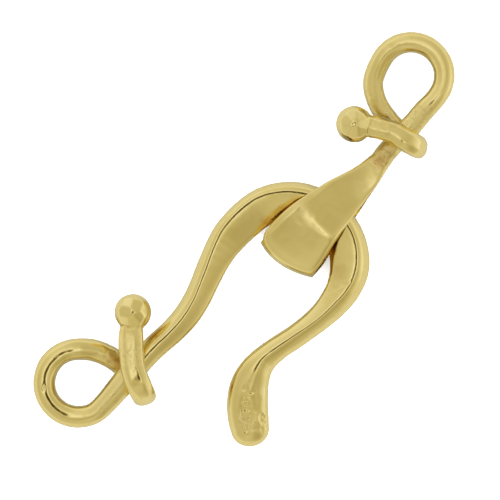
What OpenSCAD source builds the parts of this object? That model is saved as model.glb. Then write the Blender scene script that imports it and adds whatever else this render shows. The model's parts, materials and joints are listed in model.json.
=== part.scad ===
// Hook and eye clasp in forged gold, lying fastened on a flat surface.
// The hook and the eye are each one piece: a body that narrows to a neck, then a round wire that
// makes a ring, passes behind the neck, folds over its front and ends in a ball.
// Lengths are in millimetres. +X runs from the hook's ring to the eye's ring, and +Z is up.

/* [Hook] */
// From the middle of the bend to the bar's centre line
bend_r = 4.4; // [4.3:0.05:4.8]
// Width of the bar round the bend, seen from above
bar_w = 2.88; // [2.5:0.02:3]
// Thickness of the bar round the bend
bar_t = 2; // [1.6:0.05:2.3]
// From the middle of the bend to the middle of the hook's ring, along X
shank_length = 17.9; // [16:0.1:20]
// Width of the slimmest stretch of the lower limb
limb_w = 1.6; // [1.4:0.05:1.8]
// From the middle of the bend to the middle of the rounded tip, along X
tip_reach = 10.8; // [9.6:0.1:12]
// From the middle of the bend to the middle of the rounded tip, across
tip_drop = 7.4; // [6.8:0.1:8.5]
// Width of the rounded tip
tip_w = 2.95; // [2.4:0.05:3.2]
// Thickness of the rounded tip
tip_t = 2.3; // [1.8:0.05:2.6]
// Width of the neck where the tie goes over it
hook_neck_w = 1.8; // [1.5:0.05:2]
// Thickness of that neck
hook_neck_t = 1.6; // [1.4:0.05:1.8]

/* [Eye] */
// From the middle of the hook's bend to the middle of the eye's ring, along X
eye_length = 15.98; // [15:0.02:19]
// From the middle of the hook's bend to where the plate has narrowed to the neck
plate_reach = 9.9; // [9.3:0.1:11]
// Width of the folded plate at its folded end
plate_w = 4.84; // [4.2:0.02:5]
// Thickness of the strip that the plate is folded from
plate_t = 0.75; // [0.6:0.05:0.9]
// How far the middle of the folded end lies behind the middle of the bend
fold_back = 0.9; // [0.6:0.05:1]
// How far the corners of the folded end lie ahead of its middle
fold_bow = 0.68; // [0.3:0.02:0.8]
// How much further the lower corner lies ahead than the upper one
fold_skew = 0.44; // [0:0.02:0.6]
// Outer height of the folded end, where the strip turns back on itself
fold_h = 3; // [2.6:0.05:3.3]
// Air between the bar's highest point and the slot's wall
slot_gap = 0.25; // [0.15:0.05:0.4]
// Width of the eye's neck
eye_neck_w = 1.52; // [1.3:0.02:1.7]
// Thickness of the eye's neck
eye_neck_t = 1.5; // [1.3:0.05:1.7]

/* [Rings] */
// Diameter of the wire in the hook's ring
hook_wire_d = 1.56; // [1.3:0.02:1.7]
// Inner diameter of the hook's ring
hook_ring_d = 3.66; // [3.4:0.02:4.2]
// Diameter of the wire in the eye's ring
eye_wire_d = 1.46; // [1.3:0.02:1.6]
// Inner diameter of the eye's ring
eye_ring_d = 3.68; // [3.4:0.02:4.2]
// How far the middles of both rings lie beside the middle of the bend
ring_rise = 3.95; // [3.7:0.05:4.2]

/* [Ties] */
// Thickness of the wire where it is wrapped round a neck
strand_t = 1.3; // [1.1:0.05:1.4]
// How deep the wrapped wire is soldered into the neck
solder_bite = 0.05; // [0.03:0.01:0.1]
// Width of the flattened bar over the hook's neck
hook_tie_w = 1.9; // [1.6:0.05:2.1]
// Width of the flattened bar over the eye's neck
eye_tie_w = 1.8; // [1.5:0.05:2]
// From the middle of the hook's ring to the fold of its tie, along X
hook_fold_out = 2.95; // [2.7:0.05:3.2]
// From the middle of the eye's ring to the fold of its tie, along X
eye_fold_out = 3.22; // [3:0.02:3.4]
// Air between the side of the hook's neck and the inside of the fold
hook_fold_gap = 0.4; // [0.1:0.05:0.5]
// Air between the side of the eye's neck and the inside of the fold
eye_fold_gap = 0.1; // [0.05:0.05:0.5]
// Diameter of the ball that ends each tie
ball_d = 2.68; // [2.4:0.02:2.9]
// From the middle of the hook's ring to its ball, along X
hook_ball_out = 6.62; // [6.2:0.02:7]
// From the middle of the hook's ring to its ball, across
hook_ball_up = 1.1; // [0.8:0.05:1.4]
// From the middle of the eye's ring to its ball, along X
eye_ball_out = 5.6; // [5.3:0.05:5.9]
// From the middle of the eye's ring to its ball, across
eye_ball_up = 0.2; // [0:0.05:0.5]

/* [Hidden] */
gold = [0.83, 0.72, 0.36];

// Corners of a cross-section, and steps from one row of the tables to the next
sides = 16;
steps = 3;

// Shapes of the upper or lower half of a cross-section: 2 is an oval, towards 1 it is a roof with
// a ridge, and from about 3 it is a box with rounded corners
oval = 2;
roof = 1.3;
belly = 2.1;
flat = 2.8;
strip = 6;

hook_ring_r = (hook_ring_d + hook_wire_d) / 2;
eye_ring_r = (eye_ring_d + eye_wire_d) / 2;
// Middle of the lowest wire of each ring, above the middle of the bend
hook_low = ring_rise - hook_ring_r;
eye_low = ring_rise - eye_ring_r;
// Height of the middle of a wrapped wire above or below the middle of its neck
hook_wrap = (hook_neck_t + strand_t) / 2 - solder_bite;
eye_wrap = (eye_neck_t + strand_t) / 2 - solder_bite;
// Height of a ball's middle, as a share of the wrap's, and how wide its bar is where they meet,
// as a share of the bar's width
ball_height = 0.55;
ball_root = 0.8;
// How far the wire leans along the neck on its way round the fold, in ring radii: on the way up
// from behind, and on the way over the front
lean_behind = 0.13;
lean_front = 0.19;
// Angle at which a ball's surface closes, from the middle of its root
ball_end = 170;
// Outer height of the plate over the bar, and where the crest starts and ends
crest_h = bar_t + 2 * (slot_gap + plate_t);
crest_start = bend_r - 0.4 * bar_w;
crest_end = bend_r + bar_w / 2;
// How much narrower the folded end is where it is thinnest, so that its corners are rounded
corner_cut = 0.08;
// Shape of the fold seen from the side: 1 is a half circle, and less is boxier
fold_shape = 0.6;
// How fast the plate's flat faces fade into the round neck, against its width
strip_fade = 8;
// How far the tip's rounded end reaches, as a share of its width
tip_round = 0.42;
// How far past the plate's sides the slot is cut, as a share of half its width
slot_past = 1.4;

// Tip, from its end to the limb.
// along: share of tip_reach. across: from the bend's radius, 0, to the tip's drop, 1.
// size: share of tip_w and tip_t. above: shape of the top.
tip_rows = [
    [1.000, 1.000, 0.94, oval],
    [0.977, 0.867, 0.98, oval],
    [0.921, 0.590, 1.00, oval],
    [0.856, 0.345, 0.99, oval],
    [0.782, 0.145, 0.92, 1.8],
    [0.699, 0.015, 0.80, 1.6],
];
// Lower limb, from the tip to the bend. The columns along and across are the same.
// width: from limb_w, 0, to bar_w, 1. ridge: how far the crest lies outwards, in half widths.
limb_rows = [
    [0.602, -0.055, 0.23, -0.22],
    [0.472, -0.025, 0.02, -0.17],
    [0.343, 0.055, 0.00, -0.22],
    [0.204, 0.112, 0.03, -0.13],
    [0.083, 0.125, 0.19, -0.07],
];
// Bend, from the lower limb to the shank.
// angle: about the middle of the bend. radius: share of bend_r. width: as for the limb.
bend_rows = [
    [-86, 1.052, 0.50, 0.02],
    [-70, 1.042, 0.78, 0.17],
    [-50, 1.032, 1.12, 0.28],
    [-26, 1.012, 1.06, 0.40],
    [0, 1.000, 1.00, 0.44],
    [24, 1.000, 1.00, 0.46],
    [46, 1.000, 1.00, 0.48],
    [68, 1.000, 1.00, 0.56],
    [88, 1.002, 0.98, 0.60],
];
// Shank, from the bend to the ring.
// along: share of shank_length. height: from the ring's lowest wire, 0, to the bend's top, 1.
// width: from the neck's, 0, to the bar's, 1. ridge: as for the limb. above: shape of the top.
shank_rows = [
    [0.106, 0.985, 0.86, 0.57, roof],
    [0.179, 0.905, 0.58, 0.45, roof],
    [0.251, 0.765, 0.37, 0.31, roof],
    [0.324, 0.582, 0.23, 0.24, roof],
    [0.397, 0.406, 0.18, 0.16, roof],
    [0.475, 0.275, 0.14, 0.12, roof],
    [0.559, 0.217, 0.07, 0.06, roof],
    [0.665, 0.228, 0.00, 0.02, 1.6],
    [0.777, 0.185, 0.00, 0.00, oval],
    [0.877, 0.103, 0.00, 0.00, oval],
];
// Eye's plate between the fold and the crest.
// along: from where the fold's round end stops, 0, to the crest, 1. across: share of the height
// of the ring's lowest wire. width: from the neck's, 0, to the plate's, 1. height: from the
// fold's, 0, to the crest's, 1.
fold_rows = [
    [0.00, 0.32, 0.99, 0.00],
    [0.33, 0.40, 0.95, 0.28],
    [0.66, 0.46, 0.88, 0.60],
    [1.00, 0.49, 0.80, 0.97],
];
// Eye's plate over the bar. The columns are the same, with along from the crest's start to its
// end.
crest_rows = [
    [0.50, 0.50, 0.67, 0.93],
    [1.00, 0.50, 0.53, 0.72],
];
// Eye's plate beyond the bar. The columns are the same, with along from the crest's end to
// plate_reach, and height from the neck's, 0, to the crest's, 1.
plate_rows = [
    [0.20, 0.49, 0.41, 0.70],
    [0.41, 0.48, 0.27, 0.52],
    [0.62, 0.48, 0.16, 0.32],
    [0.82, 0.50, 0.07, 0.14],
    [1.00, 0.55, 0.00, 0.00],
];
// Eye's neck. along: from plate_reach to the ring's middle. across: as for the plate. depth: how
// far its middle has sunk, as a share of the wrap's depth.
neck_rows = [
    [0.13, 0.65, 0.00],
    [0.35, 0.745, 0.00],
    [0.58, 0.79, 0.04],
    [0.80, 0.92, 0.12],
];
// Rings of wire. angle: round the ring's middle, from the neck's side. depth: as for the neck.
hook_ring_rows = [
    [265, 0.16],
    [240, 0.28],
    [215, 0.38],
    [190, 0.41],
    [165, 0.42],
    [140, 0.43],
    [115, 0.44],
    [90, 0.45],
    [65, 0.50],
    [40, 0.58],
];
eye_ring_rows = [
    [265, 0.20],
    [240, 0.27],
    [215, 0.35],
    [190, 0.42],
    [165, 0.50],
    [140, 0.57],
    [115, 0.65],
    [90, 0.72],
    [65, 0.79],
];
// Wire behind the neck. along and across: from the ring's middle, in ring radii. depth: as above.
hook_strand_rows = [
    [0.935, 0.430, 0.66],
    [1.105, 0.110, 0.78],
    [1.215, -0.220, 0.88],
    [1.268, -0.600, 0.97],
];
eye_strand_rows = [
    [0.890, 0.640, 0.86],
    [1.150, 0.290, 0.92],
    [1.290, -0.080, 0.96],
    [1.345, -0.480, 0.98],
    [1.345, -0.850, 0.99],
];
// Bar over the neck. across and along: from the fold beside the neck to the ball. height: from
// the ball's, 0, to the wrap's, 1. width: share of the bar's.
tie_rows = [
    [0.45, 0.26, 1.00, 1.00],
    [0.64, 0.47, 0.93, 1.00],
    [0.81, 0.70, 0.60, 0.92],
];

function mix(a, b, share) = a + (b - a) * share;
function smooth(share) =
    let(s = min(1, max(0, share)))
    s * s * (3 - 2 * s);
function unit(v) = v / norm(v);
function signed_power(v, power) = sign(v) * pow(abs(v), power);

// One cross-section: its place, half width, half thickness, how far the ridge lies to the right
// in half widths, and the shapes of its upper and lower halves
function section(at, w, t, ridge = 0, above = oval, below = oval) =
    [at[0], at[1], len(at) > 2 ? at[2] : 0, w / 2, t / 2, ridge, above, below];
function place(one) = [one[0], one[1], one[2]];

// Smooth curve through a list of cross-sections
function between(a, b, c, d, t) =
    b + 0.5 * t * (c - a + t * (2 * a - 5 * b + 4 * c - d + t * (3 * (b - c) + d - a)));
function curve(rows) =
    let(last = len(rows) - 1)
    let(all = concat([2 * rows[0] - rows[1]], rows, [2 * rows[last] - rows[last - 1]]))
    [
        for (i = [1 : last], step = [0 : steps - 1])
            between(all[i - 1], all[i], all[i + 1], all[i + 2], step / steps),
        rows[last],
    ];

// Body of the hook, from its tip to its ring
function tip_at(along, across) = [-tip_reach * along, -mix(bend_r, tip_drop, across)];
tip_end = tip_at(tip_rows[0][0], tip_rows[0][1]);
tip_way = unit(tip_end - tip_at(tip_rows[1][0], tip_rows[1][1]));
shank_places = [
    for (one = shank_rows) [-shank_length * one[0], mix(hook_low, bend_r, one[1])]
];
hook_body = [
    for (angle = [75, 52, 26])
        section(
            tip_end + tip_way * tip_w * tip_round * sin(angle),
            tip_w * tip_rows[0][2] * cos(angle),
            tip_t * tip_rows[0][2] * cos(angle)
        ),
    for (one = tip_rows)
        section(tip_at(one[0], one[1]), tip_w * one[2], tip_t * one[2], 0, one[3], oval),
    for (one = limb_rows)
        section(
            tip_at(one[0], one[1]),
            mix(limb_w, bar_w, one[2]),
            mix(limb_w, bar_t, one[2]),
            one[3],
            roof,
            belly
        ),
    for (one = bend_rows)
        section(
            bend_r * one[1] * [cos(one[0]), sin(one[0])],
            mix(limb_w, bar_w, one[2]),
            mix(limb_w, bar_t, min(1, one[2])),
            one[3],
            roof,
            belly
        ),
    for (i = [0 : len(shank_rows) - 1])
        let(one = shank_rows[i])
        section(
            shank_places[i],
            mix(hook_neck_w, bar_w, one[2]),
            mix(hook_neck_t, bar_t, one[2]),
            one[3],
            one[4],
            mix(belly, oval, smooth(one[0]))
        ),
];

// Body of the eye, from its fold to its ring
fold_end = fold_h / 2 - fold_back;
neck_places = [
    for (one = plate_rows) [mix(crest_end, plate_reach, one[0]), eye_low * one[1]],
    for (one = neck_rows) [mix(plate_reach, eye_length, one[0]), eye_low * one[1]],
];
plate_body = concat(
    [
        for (one = fold_rows)
            section(
                [mix(fold_end, crest_start, one[0]), eye_low * one[1]],
                mix(eye_neck_w, plate_w, one[2]),
                mix(fold_h, crest_h, one[3]),
                0,
                strip,
                strip
            ),
        for (one = crest_rows)
            section(
                [mix(crest_start, crest_end, one[0]), eye_low * one[1]],
                mix(eye_neck_w, plate_w, one[2]),
                mix(fold_h, crest_h, one[3]),
                0,
                strip,
                strip
            ),
    ],
    [
        for (i = [0 : len(plate_rows) - 1])
            let(one = plate_rows[i])
            section(
                neck_places[i],
                mix(eye_neck_w, plate_w, one[2]),
                mix(eye_neck_t, crest_h, one[3]),
                0,
                mix(oval, strip, smooth(strip_fade * one[2])),
                mix(oval, strip, smooth(strip_fade * one[2]))
            )
    ]
);
eye_body = concat(
    [
        for (angle = [80, 60, 35])
            section(
                [
                    fold_end - fold_h / 2 * pow(sin(angle), fold_shape),
                    eye_low * fold_rows[0][1]
                ],
                plate_w * (1 - corner_cut * pow(sin(angle), 4)),
                fold_h * pow(cos(angle), fold_shape),
                0,
                strip,
                strip
            )
    ],
    plate_body,
    [
        for (i = [0 : len(neck_rows) - 1])
            let(at = neck_places[len(plate_rows) + i])
            section([at[0], at[1], -eye_wrap * neck_rows[i][2]], eye_neck_w, eye_neck_t)
    ]
);

// Ring of wire, sinking towards the wrap behind the neck.
// Side is 1 where the neck lies towards +X and -1 where it lies towards -X.
function ring_of(at, side, r, wire_d, wrap, rows) = [
    for (one = rows)
        section(
            [
                at[0] + side * r * cos(one[0]),
                at[1] + r * sin(one[0]),
                -wrap * one[1]
            ],
            wire_d,
            wire_d
        )
];
// Wire behind the neck, fold beside the neck and bar over it, as far as the ball
function tie_of(at, side, r, wire_d, wrap, rows, fold, tie_w, ball) =
    concat(
        [
            for (one = rows)
                section(
                    [at[0] + side * one[0] * r, at[1] + one[1] * r, -wrap * one[2]],
                    wire_d,
                    mix(wire_d, strand_t, one[2])
                )
        ],
        [
            for (angle = [-60 : 30 : 90])
                let(share = (angle + 90) / 180)
                let(lean = (angle < 0 ? lean_behind : lean_front) * r * (1 - cos(angle)))
                section(
                    [
                        fold[0] + side * lean,
                        fold[1] + wrap * (1 - cos(angle)),
                        wrap * sin(angle)
                    ],
                    mix(wire_d, tie_w, smooth(share)),
                    strand_t,
                    0,
                    mix(oval, flat, share),
                    mix(oval, flat, share)
                )
        ],
        [
            for (one = tie_rows)
                section(
                    [
                        mix(fold[0], ball[0], one[1]),
                        mix(fold[1], ball[1], one[0]),
                        wrap * mix(ball_height, 1, one[2])
                    ],
                    tie_w * one[3],
                    strand_t,
                    0,
                    flat,
                    flat
                )
        ]
    );
// Ball at the end of a bar, from where it leaves the bar
function ball_of(bar_end, ball, tie_w) =
    let(way = unit(ball - place(bar_end)))
    let(root = asin(ball_root * tie_w / ball_d))
    [
        for (step = [0 : 6])
            let(angle = mix(root, ball_end, step / 6))
            section(
                ball - way * ball_d / 2 * cos(angle),
                ball_d * sin(angle),
                ball_d * sin(angle)
            )
    ];
// The whole run of one piece: a smooth curve as far as the ball's root, then the ball
function with_ball(rows, ball, tie_w) =
    let(end = ball_of(rows[len(rows) - 1], ball, tie_w))
    concat(curve(concat(rows, [end[0]])), [for (i = [1 : len(end) - 1]) end[i]]);

// Where each tie folds beside its neck, and where its ball lies
hook_ring_at = [-shank_length, ring_rise];
eye_ring_at = [eye_length, ring_rise];
hook_fold_x = hook_ring_at[0] + hook_fold_out;
eye_fold_x = eye_ring_at[0] - eye_fold_out;
hook_fold = [
    hook_fold_x,
    lookup(hook_fold_x, shank_places) - hook_neck_w / 2 - hook_fold_gap - strand_t / 2,
];
eye_fold = [
    eye_fold_x,
    lookup(eye_fold_x, neck_places) - eye_neck_w / 2 - eye_fold_gap - strand_t / 2,
];
hook_ball = [
    hook_ring_at[0] + hook_ball_out, ring_rise + hook_ball_up, ball_height * hook_wrap
];
eye_ball = [eye_ring_at[0] - eye_ball_out, ring_rise + eye_ball_up, ball_height * eye_wrap];

hook_ring = ring_of(hook_ring_at, 1, hook_ring_r, hook_wire_d, hook_wrap, hook_ring_rows);
eye_ring = ring_of(eye_ring_at, -1, eye_ring_r, eye_wire_d, eye_wrap, eye_ring_rows);
hook_run = with_ball(
    concat(
        hook_body,
        hook_ring,
        tie_of(
            hook_ring_at, 1, hook_ring_r, hook_wire_d, hook_wrap, hook_strand_rows, hook_fold,
            hook_tie_w, hook_ball
        )
    ),
    hook_ball,
    hook_tie_w
);
eye_run = with_ball(
    concat(
        eye_body,
        eye_ring,
        tie_of(
            eye_ring_at, -1, eye_ring_r, eye_wire_d, eye_wrap, eye_strand_rows, eye_fold,
            eye_tie_w, eye_ball
        )
    ),
    eye_ball,
    eye_tie_w
);

// The folded end is bowed and skewed: its corners lie ahead of its middle
function bowed(p) =
    let(v = (p[1] - eye_low * fold_rows[0][1]) * 2 / plate_w)
    let(v = min(1.2, max(-1.2, v)))
    let(share = 1 - smooth((p[0] + fold_back) / (crest_end + fold_back)))
    [p[0] + share * (fold_bow * v * v - fold_skew / 2 * v), p[1], p[2]];

// Corners of the cross-sections. Each is square to the run, and up is carried along it.
function level(up, ahead) = unit(up - (up * ahead) * ahead);
function frames(list) =
    let(n = len(list))
    let(ahead = [
        for (i = [0 : n - 1])
            unit(place(list[min(i + 1, n - 1)]) - place(list[max(i - 1, 0)]))
    ])
    [
        for (
            i = 0, up = level([0, 0, 1], ahead[0]);
            i < n;
            i = i + 1, up = i < n ? level(up, ahead[i]) : up
        )
            [ahead[i], up]
    ];
function corners(one, frame) =
    let(left = cross(frame[1], frame[0]))
    [
        for (k = [0 : sides - 1])
            let(angle = 360 * k / sides)
            let(power = 2 / (sin(angle) > 0 ? one[6] : one[7]))
            let(up = signed_power(sin(angle), power))
            let(out = signed_power(cos(angle), power) - one[5] * max(0, up))
            place(one) + left * one[3] * out + frame[1] * one[4] * up
    ];
function rings_of(list) =
    let(frame = frames(list))
    [for (i = [0 : len(list) - 1]) corners(list[i], frame[i])];
hook_rings = rings_of(hook_run);
eye_rings = [
    for (ring = rings_of(eye_run)) [for (p = ring) p[0] < crest_end ? bowed(p) : p]
];

// The slot keeps the strip's thickness inside the plate's outline and runs right across it
slot_rows = [
    for (one = curve(plate_body))
        let(h = one[4] - plate_t)
        if (h > 0.1) [one[0], h]
];
slot_side = concat(
    [[slot_rows[len(slot_rows) - 1][0] + plate_t / 2, 0]],
    [for (i = [len(slot_rows) - 1 : -1 : 0]) slot_rows[i]],
    [
        for (angle = [30, 60])
            [
                fold_end - (fold_h / 2 - plate_t) * sin(angle),
                (fold_h / 2 - plate_t) * cos(angle)
            ]
    ],
    [[fold_end - (fold_h / 2 - plate_t), 0]]
);
slot_outline = concat(
    slot_side,
    [for (i = [len(slot_side) - 2 : -1 : 1]) [slot_side[i][0], -slot_side[i][1]]]
);
slot_rings = [
    for (share = [slot_past, 1, 0.7, 0.35, 0, -0.35, -0.7, -1, -slot_past])
        let(y = eye_low * fold_rows[0][1] + share * plate_w / 2)
        [for (p = slot_outline) bowed([p[0], y, p[1]])]
];

// Place of the whole part: centred, with its lowest point on the ground
all_points = [for (ring = concat(hook_rings, eye_rings), p = ring) p];
function lowest(axis) = min([for (p = all_points) p[axis]]);
function highest(axis) = max([for (p = all_points) p[axis]]);
home = [-(lowest(0) + highest(0)) / 2, -(lowest(1) + highest(1)) / 2, -lowest(2)];

// Closed skin over a run of rings, from the first to the last. Each ring starts at one side and
// reaches the other side half way, and each corner of a flat end is joined to the one below it.
module skin(rings, first, last) {
    n = len(rings[0]);
    runs = last - first;
    walls = [
        for (i = [0 : runs - 1], k = [0 : n - 1])
            let(a = i * n + k)
            let(b = i * n + (k + 1) % n)
            each [[a, a + n, b], [b, a + n, b + n]]
    ];
    start = [
        for (k = [0 : n / 2 - 1])
            let(a = k)
            let(b = k + 1)
            let(c = n - k - 1)
            let(d = (n - k) % n)
            each concat(b == c ? [] : [[a, b, c]], d == a ? [] : [[a, c, d]])
    ];
    end = [for (face = start) [for (k = [2, 1, 0]) face[k] + runs * n]];
    polyhedron([for (i = [first : last], p = rings[i]) p], concat(walls, start, end));
}
// A run and its wrapped end, soldered where the bar and the strand cross the neck. They part
// half way round the ring.
module wrapped(rings, body, ring) {
    middle = steps * (len(body) + floor(len(ring) / 2));
    skin(rings, 0, middle);
    skin(rings, middle, len(rings) - 1);
}

module hook() {
    color(gold)
        translate(home)
            wrapped(hook_rings, hook_body, hook_ring);
}

module eye() {
    color(gold)
        translate(home)
            difference() {
                wrapped(eye_rings, eye_body, eye_ring);
                skin(slot_rings, 0, len(slot_rings) - 1);
            }
}

hook();
eye();
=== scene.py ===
# Looks of the hook and eye clasp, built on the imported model.
import json
import math

import bmesh
import bpy
import numpy as np
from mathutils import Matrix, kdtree, noise


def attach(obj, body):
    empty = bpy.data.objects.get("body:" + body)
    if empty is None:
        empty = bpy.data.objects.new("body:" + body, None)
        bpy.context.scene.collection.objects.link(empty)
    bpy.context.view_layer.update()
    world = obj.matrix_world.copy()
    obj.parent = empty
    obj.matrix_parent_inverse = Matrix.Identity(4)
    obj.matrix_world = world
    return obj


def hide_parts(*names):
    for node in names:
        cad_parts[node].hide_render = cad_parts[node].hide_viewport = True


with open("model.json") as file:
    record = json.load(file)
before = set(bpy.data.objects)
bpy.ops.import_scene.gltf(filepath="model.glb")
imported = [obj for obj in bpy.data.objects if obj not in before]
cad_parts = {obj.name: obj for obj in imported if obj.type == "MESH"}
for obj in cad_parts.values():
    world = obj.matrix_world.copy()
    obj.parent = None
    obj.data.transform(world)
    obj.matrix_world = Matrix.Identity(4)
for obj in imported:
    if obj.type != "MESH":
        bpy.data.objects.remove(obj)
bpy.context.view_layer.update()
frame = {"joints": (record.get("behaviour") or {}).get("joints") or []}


# The clasp as it lies.
# It is fastened and rests flat on white paper, and the camera looks straight down on it. The
# middle of the hook's bend is where every place below is measured from, in millimetres.
MM = 0.001
bend_middle = np.array(frame["joints"][0]["pos_m"]) / MM
view_from_bend = (-1.71, 2.53)
view_middle = bend_middle[:2] + view_from_bend
view_width = 37.35
view_height = 600.0
view_turn = -42.73
sensor_width = 36.0

camera_data = bpy.data.cameras.new("camera")
camera_data.sensor_width = sensor_width
camera_data.lens = sensor_width * (view_height - bend_middle[2]) / view_width
camera_data.clip_start = 0.01
camera_data.clip_end = 10.0
camera = bpy.data.objects.new("camera", camera_data)
bpy.context.scene.collection.objects.link(camera)
camera.location = (view_middle[0] * MM, view_middle[1] * MM, view_height * MM)
camera.rotation_euler = (0, 0, math.radians(view_turn))
bpy.context.scene.camera = camera
bpy.context.scene.view_settings.view_transform = "Standard"
bpy.context.scene.view_settings.look = "None"
# Light goes to and fro between the two pieces of gold many times
bpy.context.scene.cycles.glossy_bounces = 10
bpy.context.scene.cycles.max_bounces = 16


# The light tent.
# White cloth stands round the clasp and over it. The gold mirrors it as a bright ring round the
# dark hole that the camera looks through, and as olive walls with bright and dim panels.
def link_chain(tree, *steps):
    """Links each output to the input beside it."""
    for out, into in steps:
        tree.links.new(out, into)


def worked(tree, kind, a, b=None):
    """Output of one math node, whose inputs are numbers or other nodes' outputs."""
    node = tree.nodes.new("ShaderNodeMath")
    node.operation = kind
    for socket, value in zip(node.inputs, (a, b)):
        if isinstance(value, (int, float)):
            socket.default_value = value
        elif value is not None:
            tree.links.new(value, socket)
    return node.outputs[0]


tent = bpy.data.worlds.new("light_tent")
bpy.context.scene.world = tent
tent.use_nodes = True
sky = tent.node_tree
sky.nodes.clear()

look = sky.nodes.new("ShaderNodeTexCoord")
way = sky.nodes.new("ShaderNodeVectorMath")
way.operation = "NORMALIZE"
parts = sky.nodes.new("ShaderNodeSeparateXYZ")
link_chain(
    sky,
    (look.outputs["Generated"], way.inputs[0]),
    (way.outputs[0], parts.inputs[0]),
)
angle_down = worked(sky, "ARCCOSINE", parts.outputs["Z"])

# degrees down from straight above, light
wall_rows = [
    (0.0, 0.08),
    (6.5, 0.10),
    (9.0, 0.52),
    (12.0, 0.90),
    (16.0, 0.86),
    (21.0, 0.72),
    (27.0, 0.68),
    (36.0, 0.64),
    (50.0, 0.59),
    (64.0, 0.63),
    (78.0, 0.78),
    (92.0, 0.86),
]
walls = sky.nodes.new("ShaderNodeValToRGB")
walls.color_ramp.interpolation = "B_SPLINE"
stops = walls.color_ramp.elements
first_stops = len(stops)
for i, (degrees, light) in enumerate(wall_rows):
    stop = stops[i] if i < first_stops else stops.new(degrees / 180)
    stop.position = degrees / 180
    stop.color = (light, light, light, 1)
sky.links.new(worked(sky, "DIVIDE", angle_down, math.pi), walls.inputs["Fac"])

# compass angle, height above the table, spread, light
panel_rows = [
    (80, 30, 27, 0.20),
    (75, 66, 12, 0.10),
    (130, 76, 8, 0.20),
    (222, 42, 17, 0.09),
    (272, 77, 7, 0.12),
    (318, 15, 26, 0.18),
    (320, 75, 7, 0.20),
    (200, 74, 13, -0.26),
    (345, 63, 14, -0.13),
    (271, 61, 9, -0.15),
    (266, 42, 15, -0.10),
    (297, 40, 9, -0.07),
    (262, 8, 26, -0.21),
]
# The dimmest wall, and how much faster than red the other colours fall where the walls are dim
least_light = 0.04
green_fall, blue_fall = 1.13, 1.72
# Light on what is matt, which keeps the paper white
table_light = 4.2


def panel(compass, height, spread, light):
    """Light of one panel of the tent, bright or dim, which fades out over its spread."""
    a, h = math.radians(compass), math.radians(height)
    facing = sky.nodes.new("ShaderNodeVectorMath")
    facing.operation = "DOT_PRODUCT"
    to = (math.cos(a) * math.cos(h), math.sin(a) * math.cos(h), math.sin(h))
    facing.inputs[1].default_value = to
    sky.links.new(way.outputs[0], facing.inputs[0])
    off = worked(sky, "SUBTRACT", 1.0, facing.outputs["Value"])
    fall = worked(sky, "MULTIPLY", off, -1.0 / (1 - math.cos(math.radians(spread))))
    return worked(sky, "MULTIPLY", worked(sky, "POWER", math.e, fall), light)


light = walls.outputs["Color"]
for row in panel_rows:
    light = worked(sky, "ADD", light, panel(*row))
light = worked(sky, "MAXIMUM", light, least_light)
# Dim walls are warmer, because the table and what stands round it light them
warm = sky.nodes.new("ShaderNodeCombineColor")
glow = sky.nodes.new("ShaderNodeBackground")
table_glow = sky.nodes.new("ShaderNodeBackground")
table_glow.inputs["Color"].default_value = (1, 1, 1, 1)
table_glow.inputs["Strength"].default_value = table_light
ray = sky.nodes.new("ShaderNodeLightPath")
both = sky.nodes.new("ShaderNodeMixShader")
world_out = sky.nodes.new("ShaderNodeOutputWorld")
link_chain(
    sky,
    (light, warm.inputs["Red"]),
    (worked(sky, "POWER", light, green_fall), warm.inputs["Green"]),
    (worked(sky, "POWER", light, blue_fall), warm.inputs["Blue"]),
    (warm.outputs["Color"], glow.inputs["Color"]),
    (ray.outputs["Is Diffuse Ray"], both.inputs["Fac"]),
    (glow.outputs[0], both.inputs[1]),
    (table_glow.outputs[0], both.inputs[2]),
    (both.outputs[0], world_out.inputs["Surface"]),
)

# The white paper that the clasp lies on, in metres. Where the gold mirrors it, the paper has a
# greyer colour, a painted shade that sets how bright it looks in the gold.
table_half = 4.0
paper_white = (0.93, 0.93, 0.93, 1)
paper_shade_in_gold = (0.217, 0.213, 0.194, 1)
table_mesh = bpy.data.meshes.new("table")
table_mesh.from_pydata(
    [
        (-table_half, -table_half, 0),
        (table_half, -table_half, 0),
        (table_half, table_half, 0),
        (-table_half, table_half, 0),
    ],
    [],
    [(0, 1, 2, 3)],
)
table = bpy.data.objects.new("table", table_mesh)
bpy.context.scene.collection.objects.link(table)
paper = bpy.data.materials.new("white_paper")
paper.use_nodes = True
paper_skin = paper.node_tree.nodes["Principled BSDF"]
paper_ray = paper.node_tree.nodes.new("ShaderNodeLightPath")
paper_white_and_shade = paper.node_tree.nodes.new("ShaderNodeMix")
paper_white_and_shade.data_type = "RGBA"
paper_white_and_shade.inputs["A"].default_value = paper_white
paper_white_and_shade.inputs["B"].default_value = paper_shade_in_gold
# Rays that the gold mirrors see the paper's painted shade
link_chain(
    paper.node_tree,
    (paper_ray.outputs["Is Glossy Ray"], paper_white_and_shade.inputs["Factor"]),
    (paper_white_and_shade.outputs["Result"], paper_skin.inputs["Base Color"]),
)
paper_skin.inputs["Roughness"].default_value = 0.9
paper_skin.inputs["Specular IOR Level"].default_value = 0.1
table_mesh.materials.append(paper)


# The hook, from its tip to its neck.
# It is one length of 18 ct gold, forged to a snake's head at the tip and to a bar with a ridge
# round the bend, then drawn down to a round neck. Hammer and file leave the facets uneven.
bend_r = 4.4
bar_w, bar_t = 2.88, 2.0
limb_w, limb_t = 1.85, 1.6
shank_length = 17.9
tip_reach, tip_drop = 10.8, 7.4
tip_w, tip_t = 3.14, 2.14
hook_neck_w, hook_neck_t = 1.86, 1.6
hook_wire_d, hook_ring_d = 1.68, 3.42
ring_rise, neck_drop = 3.95, 2.61
hook_ring_r = (hook_ring_d + hook_wire_d) / 2
hook_low = ring_rise - neck_drop

# Shapes of a cross-section's halves: 2 is an oval, less is a roof and more is a box
OVAL, ROOF, BELLY, FLAT = 2.0, 1.2, 2.1, 2.8
# How far edges are rounded off: along the bend, towards the tip, and on round wire
CRISP, SOFT, PLAIN = 0.22, 0.38, 0.10
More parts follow.
